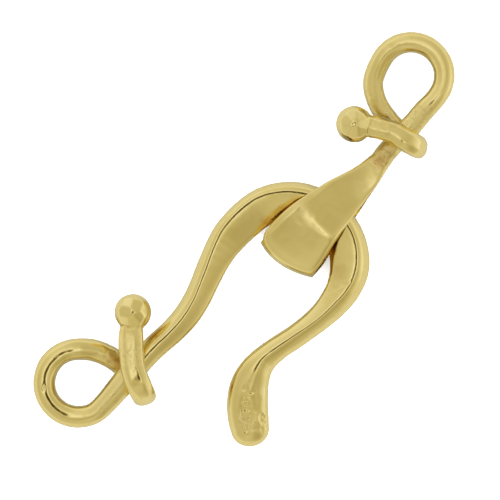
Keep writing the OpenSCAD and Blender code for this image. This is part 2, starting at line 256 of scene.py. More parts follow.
# The limb's ridge goes from crisp to soft between these shares of tip_reach
crisp_until, soft_from = 0.20, 0.55
# Cross-sections no wider than this keep their corners where they are
least_half_w = 0.2
# Share of its thickness that a rounded-off outline gets back, next to all of its width
grown_back = 0.5
# An outline is worked out with this many times the corners that it gets
finer = 4
# Turns, in degrees, at which a rounded end has its cross-sections
end_turns = np.linspace(88.5, 3, 20)

# along tip_reach, across from the bend to tip_drop, size, shape of the top, droop
tip_rows = [
    (1.000, 0.973, 0.93, 2.2, 0.80),
    (0.980, 0.862, 0.98, 2.3, 0.78),
    (0.924, 0.582, 1.00, 2.3, 0.68),
    (0.859, 0.335, 0.99, 2.2, 0.50),
    (0.785, 0.130, 0.92, 1.8, 0.27),
    (0.701, -0.003, 0.80, 1.5, 0.02),
]
# along and across as above, width from the limb's to the bar's, ridge
limb_rows = [
    (0.602, -0.071, 0.23, -0.22),
    (0.472, -0.041, 0.02, -0.17),
    (0.343, 0.037, 0.00, -0.22),
    (0.204, 0.094, 0.04, -0.13),
    (0.083, 0.111, 0.21, -0.07),
]
# angle, radius, width, ridge
bend_rows = [
    (-86, 1.052, 0.50, 0.02),
    (-70, 1.042, 0.78, 0.17),
    (-50, 1.032, 1.12, 0.28),
    (-26, 1.012, 1.06, 0.40),
    (0, 1.000, 1.00, 0.44),
    (24, 1.000, 1.00, 0.46),
    (46, 1.000, 1.00, 0.48),
    (68, 1.000, 1.00, 0.56),
    (88, 1.002, 0.98, 0.60),
]
# along shank_length, height from the neck to the bend, width from the neck's to the bar's,
# ridge, shape of the top
shank_rows = [
    (0.106, 0.985, 0.86, 0.57, ROOF),
    (0.179, 0.897, 0.60, 0.45, ROOF),
    (0.251, 0.750, 0.40, 0.31, ROOF),
    (0.324, 0.567, 0.26, 0.24, ROOF),
    (0.397, 0.391, 0.20, 0.16, ROOF),
    (0.475, 0.265, 0.15, 0.12, 1.3),
    (0.559, 0.217, 0.07, 0.06, 1.4),
    (0.665, 0.228, 0.00, 0.02, 1.6),
    (0.777, 0.185, 0.00, 0.00, OVAL),
    (0.877, 0.103, 0.00, 0.00, OVAL),
]


def ramp_of(x, low, high):
    """0 up to low, 1 from high on, and straight between them."""
    return np.clip((x - low) / (high - low), 0.0, 1.0)


def eased(share):
    """A share with a smooth start and end."""
    return share * share * (3 - 2 * share)


def step_of(x, low, high):
    """Smooth step from 0 at low to 1 at high."""
    return eased(ramp_of(x, low, high))


def turned(degrees):
    """Step of one unit in the plane, at an angle."""
    return np.array([math.cos(math.radians(degrees)), math.sin(math.radians(degrees))])


def mix(a, b, share):
    """The value a share of the way from a to b."""
    return a + (b - a) * share


def section(at, w, t, ridge=0.0, above=OVAL, below=OVAL, facets=0.0, crisp=PLAIN):
    """One cross-section: place, half width, half thickness, ridge, shapes above and below, how
    far it is hammered to eight flats, and how far its edges are rounded off."""
    z = at[2] if len(at) > 2 else 0.0
    return [at[0], at[1], z, w / 2, t / 2, ridge, above, below, facets, crisp]


def drawn_curve(rows, fine=24):
    """Smooth curve through rows of cross-sections."""
    p = np.array(rows, float)
    p = np.vstack([2 * p[0] - p[1], p, 2 * p[-1] - p[-2]])
    t = (np.arange(fine) / fine)[:, None]
    runs = []
    for i in range(1, len(p) - 2):
        a, b, c, d = p[i - 1], p[i], p[i + 1], p[i + 2]
        runs.append(
            b + 0.5 * t * (c - a + t * (2 * a - 5 * b + 4 * c - d + t * (3 * (b - c) + d - a)))
        )
    return np.vstack(runs + [p[-2][None, :]])


def bell(spread, gap):
    """Weights of a bell curve, at samples that lie a gap apart."""
    half = int(3 * spread / gap) + 1
    weights = np.exp(-0.5 * (np.arange(-half, half + 1) * gap / spread) ** 2)
    return weights / weights.sum()


def even_steps(run, step, soften):
    """The run with evenly spaced cross-sections, eased along its length."""
    reach = np.concatenate([[0], np.cumsum(np.linalg.norm(np.diff(run[:, :3], axis=0), axis=1))])
    count = int(round(reach[-1] / step))
    at = np.linspace(0, reach[-1], count + 1)
    even = np.column_stack([np.interp(at, reach, column) for column in run.T])
    weights = bell(soften, reach[-1] / count)
    half = len(weights) // 2
    ahead = 2 * even[0] - even[1 : half + 1][::-1]
    after = 2 * even[-1] - even[-half - 1 : -1][::-1]
    padded = np.vstack([ahead, even, after])
    return np.column_stack([np.convolve(column, weights, "valid") for column in padded.T])


def span(values):
    """Middle and size of a range of values."""
    return (values.max() + values.min()) / 2, values.max() - values.min()


def outline_of(one, around):
    """Corners of one cross-section, as far as they lie out and up from its place."""
    half_w, half_t, ridge, above, below, facets, crisp = one[3:]
    fine = finer * around
    angle = 2 * np.pi * np.arange(fine) / fine
    sine, cosine = np.sin(angle), np.cos(angle)
    eighth = np.pi / 4
    flat_reach = 1 / np.cos(np.mod(angle + eighth / 2, eighth) - eighth / 2)
    power = np.where(sine > 0, 2 / above, 2 / below)
    up = mix(np.sign(sine) * np.abs(sine) ** power, sine * flat_reach, facets)
    out = mix(np.sign(cosine) * np.abs(cosine) ** power, cosine * flat_reach, facets)
    x, y = half_w * (out - ridge * np.maximum(0, up)), half_t * up
    if half_w <= least_half_w:
        return x[::finer], y[::finer]

    # Evenly spaced corners, with the sharp edges rounded off and the size kept
    closed = np.append(np.arange(fine), 0)
    edge = np.hypot(np.diff(x[closed]), np.diff(y[closed]))
    reach = np.concatenate([[0], np.cumsum(edge)])
    at = reach[-1] * np.arange(around) / around
    x, y = np.interp(at, reach, x[closed]), np.interp(at, reach, y[closed])
    (middle_x, wide), (middle_y, tall) = span(x), span(y)
    weights = bell(crisp, reach[-1] / around)
    half = len(weights) // 2
    x = np.convolve(np.concatenate([x[-half:], x, x[:half]]), weights, "valid")
    y = np.convolve(np.concatenate([y[-half:], y, y[:half]]), weights, "valid")
    (now_x, now_wide), (now_y, now_tall) = span(x), span(y)
    x = middle_x + (x - now_x) * (wide / now_wide)
    y = middle_y + (y - now_y) * mix(1, tall / now_tall, grown_back)
    return x, y


def swept_rings(run, around):
    """Corners of every cross-section, square to the run."""
    ahead = np.gradient(run[:, :3], axis=0)
    ahead /= np.linalg.norm(ahead, axis=1)[:, None]
    up_way = np.array([0.0, 0.0, 1.0])
    rings = []
    for one, front in zip(run, ahead):
        up_way = up_way - (up_way @ front) * front
        up_way /= np.linalg.norm(up_way)
        side_way = np.cross(up_way, front)
        x, y = outline_of(one, around)
        rings.append(one[:3] + np.outer(x, side_way) + np.outer(y, up_way))
    return np.array(rings)


def skinned(name, rings):
    """A closed mesh over a run of rings, in the frame's metres."""
    count, around = rings.shape[:2]
    points = (rings.reshape(-1, 3) + bend_middle) * MM
    first, last = points[:around].mean(0), points[-around:].mean(0)
    points = np.vstack([points, first, last])
    faces = []
    for i in range(count - 1):
        for k in range(around):
            a, b = i * around + k, i * around + (k + 1) % around
            faces.append((a, b, b + around, a + around))
    for k in range(around):
        n = (k + 1) % around
        faces.append((n, k, count * around))
        faces.append(((count - 1) * around + k, (count - 1) * around + n, count * around + 1))
    mesh = bpy.data.meshes.new(name)
    mesh.from_pydata(points.tolist(), [], faces)
    work = bmesh.new()
    work.from_mesh(mesh)
    bmesh.ops.recalc_face_normals(work, faces=work.faces)
    work.to_mesh(mesh)
    work.free()
    piece = bpy.data.objects.new(name, mesh)
    bpy.context.scene.collection.objects.link(piece)
    return piece


def tip_at(along, across, droop=0.0):
    """A place on the lower limb, which droops a little towards its tip."""
    return np.array([-tip_reach * along, -mix(bend_r, tip_drop, across), -droop])


def capped(run, reach, shape, narrowed):
    """A run with a rounded end before its first cross-section. Shape 1 is round and less is
    boxier, and narrowed is how much of the width goes as well."""
    way = run[0, :3] - run[1, :3]
    step = np.linalg.norm(way)
    way = way / step
    thinner = (run[2, 4] - run[0, 4]) / 2 / step if narrowed == 0 else 0.0
    rows = []
    for turn in end_turns:
        ahead = math.sin(math.radians(turn)) ** shape
        thick = math.cos(math.radians(turn)) ** shape
        row = run[0].copy()
        row[:3] += way * reach * ahead
        row[3] *= 1 - narrowed + narrowed * thick
        row[4] = (row[4] - thinner * reach * ahead) * thick
        rows.append(row)
    return np.vstack([rows, run])


hook_body = [
    section(tip_at(along, across, droop), tip_w * size, tip_t * size, above=above, crisp=SOFT)
    for along, across, size, above, droop in tip_rows
]
hook_body += [
    section(
        tip_at(along, across),
        mix(limb_w, bar_w, wide),
        mix(limb_t, bar_t, wide),
        ridge,
        ROOF,
        BELLY,
        crisp=mix(CRISP, SOFT, step_of(along, crisp_until, soft_from)),
    )
    for along, across, wide, ridge in limb_rows
]
hook_body += [
    section(
        bend_r * radius * turned(turn),
        mix(limb_w, bar_w, wide),
        mix(limb_t, bar_t, min(1, wide)),
        ridge,
        ROOF,
        BELLY,
        crisp=CRISP,
    )
    for turn, radius, wide, ridge in bend_rows
]
shank_places = [
    (-shank_length * along, mix(hook_low, bend_r, height)) for along, height, *_ in shank_rows
]
hook_body += [
    section(
        place,
        mix(hook_neck_w, bar_w, wide),
        mix(hook_neck_t, bar_t, wide),
        ridge,
        above,
        mix(BELLY, OVAL, step_of(along, 0, 1)),
        crisp=CRISP,
    )
    for place, (along, _, wide, ridge, above) in zip(shank_places, shank_rows)
]


# The hook's ring, its tie and its ball.
# The neck runs on as round wire, makes the ring, goes behind the neck, folds up beside it and
# comes back over the front as a flattened bar that ends in a ball.

# Thickness of the flattened wire, its width over the neck, and how far it bites into the neck
strand_t, hook_tie_w, solder_bite = 1.3, 1.9, 0.05
# The fold's distance from the ring's middle and its gap to the neck, and the turns that it is
# made of. It leans away from the ring, behind the neck and in front of it, in ring radii.
hook_fold_out, hook_fold_gap = 2.95, 0.4
fold_turns = range(-60, 91, 30)
lean_behind, lean_front = 0.13, 0.19
# How far the fold and the bar are hammered to flats, and along which share of the fold that comes
fold_facets, tie_facets = 0.7, 0.8
facets_come = (0.2, 0.8)
# The ball's size, its place from the ring's middle, its height as a share of the wrap's, the
# size of its root in tie widths, and the angle and number of cross-sections with which it closes
ball_d = 2.80
hook_ball_out, hook_ball_up = 6.62, 1.1
ball_height, ball_root = 0.52, 0.9
ball_end, ball_steps = 179, 30
# Shape of the ring's wire above, which is a little boxier than a circle
hook_ring_shape = 2.25
# Depth of the wire behind the neck, and of the bar over it
hook_wrap = (hook_neck_t + strand_t) / 2 - solder_bite
hook_ring_at = np.array([-shank_length, ring_rise])
# Distance between the hook's cross-sections, over how much they are eased, and their corners
hook_step, hook_ease, hook_around = 0.085, 0.30, 92
# Reach of the tip's rounded end, as a share of tip_w
tip_round = 0.42

# angle round the ring from the neck's side, depth as a share of the wrap's
hook_ring_rows = [
    (265, 0.16),
    (240, 0.28),
    (215, 0.38),
    (190, 0.41),
    (165, 0.42),
    (140, 0.43),
    (115, 0.44),
    (90, 0.45),
    (65, 0.50),
    (40, 0.58),
]
# along and across from the ring's middle in ring radii, depth as above
hook_strand_rows = [
    (0.957, 0.440, 0.66),
    (1.131, 0.113, 0.78),
    (1.244, -0.225, 0.88),
    (1.298, -0.614, 0.97),
]
# across and along from the fold to the ball, height from the ball's to the wrap's, width
tie_rows = [
    (0.45, 0.26, 0.86, 1.00),
    (0.64, 0.47, 0.68, 1.00),
    (0.81, 0.70, 0.40, 0.99),
]


def ring_of(at, side, r, wire_d, wrap, above, rows):
    """Ring of wire that sinks towards the wrap. Side is 1 where its neck lies towards +X."""
    return [
        section(
            (
                at[0] + side * r * math.cos(math.radians(turn)),
                at[1] + r * math.sin(math.radians(turn)),
                -wrap * depth,
            ),
            wire_d,
            wire_d,
            0,
            above,
        )
        for turn, depth in rows
    ]


def tie_of(at, side, r, wire_d, wrap, rows, fold, tie_w, ball):
    """Wire behind the neck, fold beside it and bar over it."""
    made = [
        section(
            (at[0] + side * along * r, at[1] + across * r, -wrap * depth),
            wire_d,
            mix(wire_d, strand_t, depth),
        )
        for along, across, depth in rows
    ]
    for turn in fold_turns:
        a = math.radians(turn)
        share = (turn + 90) / 180
        lean = (lean_behind if turn < 0 else lean_front) * r * (1 - math.cos(a))
        shape = mix(OVAL, FLAT, share)
        made.append(
            section(
                (
                    fold[0] + side * lean,
                    fold[1] + wrap * (1 - math.cos(a)),
                    wrap * math.sin(a),
                ),
                mix(wire_d, tie_w, step_of(share, 0, 1)),
                strand_t,
                0,
                shape,
                shape,
                fold_facets * step_of(share, *facets_come),
            )
        )
    for across, along, height, wide in tie_rows:
        made.append(
            section(
                (
                    mix(fold[0], ball[0], along),
                    mix(fold[1], ball[1], across),
                    wrap * mix(ball_height, 1, height),
                ),
                tie_w * wide,
                strand_t,
                0,
                FLAT,
                FLAT,
                tie_facets,
            )
        )
    return made


def with_ball(rows, ball, tie_w, step, soften):
    """The smooth run of one half as far as its ball's root, then the ball."""
    way = ball - np.array(rows[-1][:3])
    way = way / np.linalg.norm(way)
    root = math.asin(ball_root * tie_w / ball_d)
    ball_run = [
        section(
            ball - way * ball_d / 2 * math.cos(a), ball_d * math.sin(a), ball_d * math.sin(a)
        )
        for a in np.linspace(root, math.radians(ball_end), ball_steps)
    ]
    run = even_steps(drawn_curve(rows + [ball_run[0]]), step, soften)
    return np.vstack([run, np.array(ball_run[1:])])


hook_fold_x = hook_ring_at[0] + hook_fold_out
shank_x, shank_y = np.array(shank_places).T
hook_neck_y = np.interp(-hook_fold_x, -shank_x, shank_y)
hook_fold = np.array(
    [hook_fold_x, hook_neck_y - hook_neck_w / 2 - hook_fold_gap - strand_t / 2]
)
hook_ball = np.array(
    [hook_ring_at[0] + hook_ball_out, ring_rise + hook_ball_up, ball_height * hook_wrap]
)
hook_ring = ring_of(
    hook_ring_at, 1, hook_ring_r, hook_wire_d, hook_wrap, hook_ring_shape, hook_ring_rows
)
hook_tie = tie_of(
    hook_ring_at, 1, hook_ring_r, hook_wire_d, hook_wrap, hook_strand_rows, hook_fold,
    hook_tie_w, hook_ball,
)
hook_run = with_ball(
    hook_body + hook_ring + hook_tie, hook_ball, hook_tie_w, hook_step, hook_ease
)
hook_run = capped(hook_run, tip_w * tip_round, shape=1.0, narrowed=1.0)
hook_rings = swept_rings(hook_run, hook_around)

# Corners closer than this are one
weld = 0.008
# Solder runs into what turns inwards by more than this, in radians, as far as its reach. Each
# pass levels it by a share.
solder_turn, solder_reach = 0.45, 0.16
solder_passes, solder_share = 8, 0.5
# Edges that turn by more than this, in radians, stay sharp
sharp_turn = 0.9


def parted(rings, at):
    """Index of the ring of corners nearest to a place."""
    return int(np.argmin(np.linalg.norm(rings.mean(1) - at, axis=1)))


def soldered(name, body_part, *others):
    """Joins other closed skins to one, or cuts them out of it, and runs solder into the
    corners."""
    for other, kind in others:
        joint = body_part.modifiers.new("solder", "BOOLEAN")
        joint.operation = kind
        joint.solver = "EXACT"
        joint.object = other
    seen = bpy.context.evaluated_depsgraph_get()
    mesh = bpy.data.meshes.new_from_object(body_part.evaluated_get(seen))
    mesh.name = name
    for old in (body_part, *(other for other, _ in others)):
        bpy.data.objects.remove(old)
    work = bmesh.new()
    work.from_mesh(mesh)
    bmesh.ops.remove_doubles(work, verts=work.verts, dist=weld * MM)
    inner = {
        v
        for e in work.edges
        if len(e.link_faces) == 2 and e.calc_face_angle_signed(0) < -solder_turn
        for v in e.verts
    }
    corners = kdtree.KDTree(len(inner))
    for i, v in enumerate(inner):
        corners.insert(v.co, i)
    corners.balance()
    run_in = [v for v in work.verts if corners.find(v.co)[2] < solder_reach * MM]
    for _ in range(solder_passes):
        bmesh.ops.smooth_vert(
            work,
            verts=run_in,
            factor=solder_share,
            use_axis_x=True,
            use_axis_y=True,
            use_axis_z=True,
        )
    for e in work.edges:
        e.smooth = len(e.link_faces) == 2 and abs(e.calc_face_angle_signed(0)) < sharp_turn
    for f in work.faces:
        f.smooth = True
    work.to_mesh(mesh)
    work.free()
    piece = bpy.data.objects.new(name, mesh)
    bpy.context.scene.collection.objects.link(piece)
    return piece


# Dent that is everywhere, and the size and share of its broad and its small unevenness
worn_depth = 0.010
broad_size, broad_share = 1.1, 0.7
small_size, small_share, small_from = 0.42, 0.35, 7
# How ragged a mark's outline is. Marks with a wall steeper than this have a pitted floor.
mark_ragged, steep_wall = 0.15, 4
pit_from, pit_size, pit_depth = 0.3, 0.19, 0.10
# How near the ball's middle its skin lies, in ball sizes, and the share of a flat that is worn
ball_near, flat_worn = 0.56, 0.92


def unevenness(points, size, start=0):
    """Noise at each point, whose lumps have a size."""
    return np.array([noise.noise(p / size + start) for p in points])


def hammered(piece, spots, marks, ball, flats):
    """Dents a skin inwards. Spots are areas that the hammer and file have left uneven.
    Marks are single dents in the top, longer one way than the other, and the steeper their wall
    is the flatter is their floor. Flats are places where the ball is worn flat."""
    mesh = piece.data
    count = len(mesh.vertices)
    points, outward = np.empty(count * 3), np.empty(count * 3)
    mesh.vertices.foreach_get("co", points)
    mesh.vertices.foreach_get("normal", outward)
    points, outward = points.reshape(-1, 3) / MM - bend_middle, outward.reshape(-1, 3)
    strength = np.full(count, worn_depth)
    for x, y, reach, depth in spots:
        far = np.hypot(points[:, 0] - x, points[:, 1] - y)
        strength += depth * np.exp(-((far / reach) ** 2))
    broad = unevenness(points, broad_size)
    small = unevenness(points, small_size, small_from)
    depth = strength * (1 + broad_share * broad + small_share * small)
    for x, y, turn, long_way, short_way, deep, wall in marks:
        a = math.radians(turn)
        off_x, off_y = points[:, 0] - x, points[:, 1] - y
        along = (off_x * math.cos(a) + off_y * math.sin(a)) / long_way
        across = (off_y * math.cos(a) - off_x * math.sin(a)) / short_way
        far = np.maximum(along**2 + across**2 + mark_ragged * broad, 0)
        floor = np.exp(-(far ** (wall / 2)))
        if wall > steep_wall:
            pitted = np.flatnonzero(floor > pit_from)
            depth[pitted] += pit_depth * unevenness(points[pitted], pit_size)
        depth += deep * floor * np.clip(outward[:, 2], 0, 1)
    points -= outward * np.maximum(depth, 0)[:, None]
    near = np.linalg.norm(points - ball, axis=1) < ball_near * ball_d
    for turn, tilt, cut in flats:
        a, b = math.radians(turn), math.radians(tilt)
        facing = np.array([math.cos(a) * math.sin(b), math.sin(a) * math.sin(b), math.cos(b)])
        over = (points - ball) @ facing - (ball_d / 2 - cut)
        points -= np.where(near, np.maximum(over, 0), 0)[:, None] * facing * flat_worn
    mesh.vertices.foreach_set("co", ((points + bend_middle) * MM).ravel())
    mesh.update()


hook_split = parted(hook_rings, np.array([hook_ring_at[0] - hook_ring_r, ring_rise, 0]))
hook = soldered(
    "hook_forged",
    skinned("hook_body", hook_rings[: hook_split + 1]),
    (skinned("hook_wrap", hook_rings[hook_split - 1 :]), "UNION"),
)
# x, y, reach, depth
hook_spots = [
    (-9.8, -6.4, 1.9, 0.020),
    (-13.6, -6.1, 1.0, 0.020),
    (-13.9, 2.0, 1.6, 0.016),
    (-14.2, 3.6, 1.2, 0.030),
    (-11.3, 5.0, 1.3, 0.020),
    (-17.9, 1.4, 1.4, 0.020),
    (-17.0, 6.2, 1.6, 0.016),
]
# x, y, angle, reach along, reach across, depth, wall
hook_marks = [
    (-20.02, 5.42, 40, 0.22, 0.10, 0.05, 2),
    (-10.95, -7.12, 30, 0.20, 0.10, 0.17, 2),
    (-10.10, -6.12, 50, 1.20, 0.45, 0.17, 12),
    (-9.62, -7.42, 60, 0.46, 0.26, 0.08, 6),
    (-10.15, -7.95, 60, 0.24, 0.14, 0.05, 4),
    (-9.05, -4.85, 50, 0.30, 0.16, 0.03, 3),
    (-10.30, -5.78, 43, 0.95, 0.07, 0.09, 2),
    (-9.14, -5.24, -25, 0.40, 0.07, 0.08, 2),
    (-9.50, -6.34, 56, 0.75, 0.06, 0.04, 2),
    (1.60, -4.12, 164, 0.60, 0.07, 0.05, 2),
]
# compass angle, tilt, depth
hook_flats = [
    (15, 30, 0.125),
    (75, 38, 0.110),
    (128, 27, 0.130),
    (180, 40, 0.110),
    (232, 30, 0.120),
    (285, 24, 0.090),
    (330, 46, 0.120),
    (100, 62, 0.070),
    (205, 66, 0.070),
    (20, 68, 0.060),
]
hammered(hook, hook_spots, hook_marks, hook_ball, hook_flats)

# Polished 18 ct yellow gold with a slight green cast, worn soft by use. It is redder where solder
# has run, with painted shade and painted reflection where the hook's bar passes the eye's plate,
# rougher where the polish has not reached, and a darker orange of painted shade in the hollows.
polished, handled = (0.90, 0.757, 0.340, 1), (0.885, 0.735, 0.305, 1)
# Orange-brown of solder stains, and of the painted shade and painted reflection of the eye's
# plate on the hook's bar
solder_and_shade_tone = (0.60, 0.33, 0.11, 1)
# Painted shade in the hollows: a darker orange and how much of it
hollow_shade_tone, hollow_shade_share = (0.70, 0.42, 0.12, 1), 0.5
pit_tone, pit_share = (0.42, 0.28, 0.08, 1), 0.55
# Roughness of the polish, and how much rougher handling, scratches, pits and soft wear make it
polish_rough = 0.075
handled_rough, scratch_rough, pit_rough, soft_rough = 0.05, 0.06, 0.24, 0.30
# Height of the pits, the grain and the scratches, in relief_depth
relief_depth = 0.012
pit_height, grain_height, scratch_height = 3.0, 0.10, -0.08
# Noise of each kind of wear, as its scale and detail. Scratches are drawn out along two ways.
patch_noise, mottle_noise, grain_noise, scratch_noise = (0.55, 3), (3.2, 4), (14.0, 2), (1.0, 3)
scratch_way, crossed_way = (1.2, 16, 5), (13, 2.0, 5)
# Where in the noise each kind of wear starts and is full, and where in its pointiness the painted
# shade of a hollow starts and is full
patch_range, scratch_range, crossed_range = (0.38, 0.64), (0.60, 0.72), (0.63, 0.74)
pit_range, hollow_shade_range = (0.50, 0.36), (0.49, 0.42)
# A soft spot's ragged edge: its noise, how ragged it is, and where it starts and is full
spot_noise, spot_ragged, spot_range = (1.8, 3), 0.7, (1.0, 0.45)
noise_middle = 0.5


def new_group(name, ins, outs):
    """An empty group of shader nodes with named inputs and outputs."""
    group = bpy.data.node_groups.new(name, "ShaderNodeTree")
    for label, kind, value in ins:
        socket = group.interface.new_socket(label, in_out="INPUT", socket_type=kind)
        if value is not None:
            socket.default_value = value
    for label, kind in outs:
        group.interface.new_socket(label, in_out="OUTPUT", socket_type=kind)
    return group, group.nodes.new("NodeGroupInput"), group.nodes.new("NodeGroupOutput")


def noise_of(tree, place, scale, detail, stretch=(1, 1, 1)):
    """Noise over a place in millimetres."""
    drawn = tree.nodes.new("ShaderNodeVectorMath")
    drawn.operation = "MULTIPLY"
    drawn.inputs[1].default_value = stretch
    cloud = tree.nodes.new("ShaderNodeTexNoise")
    cloud.inputs["Scale"].default_value = scale
    cloud.inputs["Detail"].default_value = detail
    link_chain(tree, (place, drawn.inputs[0]), (drawn.outputs[0], cloud.inputs["Vector"]))
    return cloud.outputs["Fac"]


def ranged(tree, value, low, high):
    """A value spread over 0 to 1 as it goes from low to high, and held inside it."""
    spread = tree.nodes.new("ShaderNodeMapRange")
    spread.inputs["From Min"].default_value = low
    spread.inputs["From Max"].default_value = high
    tree.links.new(value, spread.inputs["Value"])
    return spread.outputs["Result"]


def weighted(tree, *terms):
    """Sum of values, each times its weight."""
    total = None
    for value, weight in terms:
        one = worked(tree, "MULTIPLY", value, weight)
        total = one if total is None else worked(tree, "ADD", total, one)
    return total


def toned(tree, share, under, over):
    """A tone laid by a share over another, which is a colour or an output."""
    blend = tree.nodes.new("ShaderNodeMix")
    blend.data_type = "RGBA"
    tree.links.new(share, blend.inputs["Factor"])
    if isinstance(under, tuple):
        blend.inputs["A"].default_value = under
    else:
        tree.links.new(under, blend.inputs["A"])
    blend.inputs["B"].default_value = over
    return blend.outputs["Result"]


# Wear by hand: broad patches, mottling, fine grain and thin scratches
wear, wear_in, wear_out = new_group(
    "hand_wear",
    [("Place", "NodeSocketVector", None)],
    [(label, "NodeSocketFloat") for label in ("Patches", "Mottle", "Grain", "Scratches")],
)
place = wear_in.outputs["Place"]
scratches = ranged(wear, noise_of(wear, place, *scratch_noise, scratch_way), *scratch_range)
crossed = ranged(wear, noise_of(wear, place, *scratch_noise, crossed_way), *crossed_range)
link_chain(
    wear,
    (ranged(wear, noise_of(wear, place, *patch_noise), *patch_range), wear_out.inputs["Patches"]),
    (noise_of(wear, place, *mottle_noise), wear_out.inputs["Mottle"]),
    (noise_of(wear, place, *grain_noise), wear_out.inputs["Grain"]),
    (worked(wear, "MAXIMUM", scratches, crossed), wear_out.inputs["Scratches"]),
)

# A soft round spot, such as a solder stain, a painted shade or a place left rough
spot, spot_in, spot_out = new_group(
    "soft_spot",
    [
        ("Place", "NodeSocketVector", None),
        ("Centre", "NodeSocketVector", None),
        ("Reach", "NodeSocketFloat", 1.0),
        ("Ragged", "NodeSocketFloat", spot_ragged),
    ],
    [("Mask", "NodeSocketFloat")],
)
from_centre = spot.nodes.new("ShaderNodeVectorMath")
from_centre.operation = "DISTANCE"
link_chain(
    spot,
    (spot_in.outputs["Place"], from_centre.inputs[0]),
    (spot_in.outputs["Centre"], from_centre.inputs[1]),
)
torn = noise_of(spot, spot_in.outputs["Place"], *spot_noise)
torn = worked(spot, "SUBTRACT", torn, noise_middle)
torn = worked(spot, "MULTIPLY", torn, spot_in.outputs["Ragged"])
share_out = worked(spot, "DIVIDE", from_centre.outputs["Value"], spot_in.outputs["Reach"])
mask = ranged(spot, worked(spot, "ADD", share_out, torn), *spot_range)
spot.links.new(mask, spot_out.inputs["Mask"])


def spots_of(tree, place, spots):
    """The strongest of several soft spots: middle, reach and strength."""
    total = None
    for x, y, z, reach, much in spots:
        one = tree.nodes.new("ShaderNodeGroup")
        one.node_tree = spot
        one.inputs["Centre"].default_value = (x, y, z)
        one.inputs["Reach"].default_value = reach
        tree.links.new(place, one.inputs["Place"])
        shown = worked(tree, "MULTIPLY", one.outputs["Mask"], much)
        total = shown if total is None else worked(tree, "MAXIMUM", total, shown)
    return total


def gold_of(name, stains_and_shade, rough_spots, soft_places):
    """Gold with solder stains, painted shade, places left rough and places worn soft."""
    made = bpy.data.materials.new(name)
    made.use_nodes = True
    tree = made.node_tree
    skin = tree.nodes["Principled BSDF"]
    skin.inputs["Metallic"].default_value = 1.0
    where = tree.nodes.new("ShaderNodeTexCoord")
    to_mm = tree.nodes.new("ShaderNodeVectorMath")
    to_mm.operation = "SCALE"
    to_mm.inputs["Scale"].default_value = 1 / MM
    from_bend = tree.nodes.new("ShaderNodeVectorMath")
    from_bend.operation = "SUBTRACT"
    from_bend.inputs[1].default_value = bend_middle
    worn = tree.nodes.new("ShaderNodeGroup")
    worn.node_tree = wear
    link_chain(
        tree,
        (where.outputs["Object"], to_mm.inputs[0]),
        (to_mm.outputs[0], from_bend.inputs[0]),
        (from_bend.outputs[0], worn.inputs["Place"]),
    )
    patches, mottle = worn.outputs["Patches"], worn.outputs["Mottle"]
    grain, scratches = worn.outputs["Grain"], worn.outputs["Scratches"]
    stained_and_shaded = spots_of(tree, from_bend.outputs[0], stains_and_shade)
    unpolished = spots_of(tree, from_bend.outputs[0], rough_spots)
    softened = spots_of(tree, from_bend.outputs[0], soft_places)
    edges = tree.nodes.new("ShaderNodeNewGeometry")
    # Painted shade in the hollows, where the mesh is concave
    hollow_shade = ranged(tree, edges.outputs["Pointiness"], *hollow_shade_range)
    pitted = worked(tree, "MULTIPLY", ranged(tree, mottle, *pit_range), unpolished)

    tone = toned(tree, patches, polished, handled)
    # Solder stains and painted shade, mottled
    tone = toned(tree, worked(tree, "MULTIPLY", stained_and_shaded, mottle), tone, solder_and_shade_tone)
    tone = toned(tree, worked(tree, "MULTIPLY", hollow_shade, hollow_shade_share), tone, hollow_shade_tone)
    tone = toned(tree, worked(tree, "MULTIPLY", pitted, pit_share), tone, pit_tone)
    dull = weighted(
        tree,
        (patches, handled_rough),
        (scratches, scratch_rough),
        (unpolished, pit_rough),
        (softened, soft_rough),
    )
    relief = weighted(
        tree,
        (worked(tree, "MULTIPLY", mottle, unpolished), pit_height),
        (grain, grain_height),
        (scratches, scratch_height),
    )
    bump = tree.nodes.new("ShaderNodeBump")
    bump.inputs["Strength"].default_value = 1.0
    bump.inputs["Distance"].default_value = relief_depth * MM
    link_chain(
        tree,
        (tone, skin.inputs["Base Color"]),
        (worked(tree, "ADD", dull, polish_rough), skin.inputs["Roughness"]),
        (relief, bump.inputs["Height"]),
        (bump.outputs["Normal"], skin.inputs["Normal"]),
    )
    return made


# x, y, height, reach, strength: of stains and painted shade, of what is left rough and of what is
# worn soft
# On the hook, the first three are solder at its crossing. The next four, along the upper edge of
# the eye's plate, are painted shade and painted reflection of the plate on the hook's bar, which
# only passes through the slot. The fifth tints the bar below the plate's lower edge and the last
# a groove in the tip's recess.
hook_stains_and_shade = [
    (-14.6, 3.2, 0, 1.2, 0.8),
    (-11.2, 2.9, 0.3, 1.2, 0.6),
    (-13.9, 1.2, 0, 1.1, 0.4),
    (0.6, 2.9, 0.3, 0.9, 1.0),
    (1.9, 2.75, 0.3, 0.9, 1.3),
    (3.0, 2.35, 0.3, 0.9, 1.2),
    (3.8, 1.9, 0.3, 0.6, 0.9),
    (2.2, -3.3, 0.4, 0.8, 0.4),
    (-10.3, -5.8, 0.6, 0.45, 0.5),
]
hook_rough = [
    (-9.75, -5.70, 0.6, 0.62, 0.3),
    (-10.40, -6.50, 0.5, 0.66, 0.3),
    (-9.85, -7.60, 0.3, 0.75, 0.3),
    (-9.30, -5.30, 0.7, 0.55, 0.4),
    (-14.6, 3.3, 0, 1.5, 0.9),
    (-13.4, 2.6, 1.6, 1.5, 0.4),
]
hook_soft = [
    (-15.6, 1.6, 0.8, 1.5, 0.8),
    (-17.4, 1.4, 0.7, 1.1, 0.7),
    (-10.2, -7.4, 0.3, 1.6, 0.25),
    (-12.2, 4.05, 1.5, 0.9, 0.8),
]
hook.data.materials.clear()
hook.data.materials.append(gold_of("hook_gold", hook_stains_and_shade, hook_rough, hook_soft))
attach(hook, "hook")
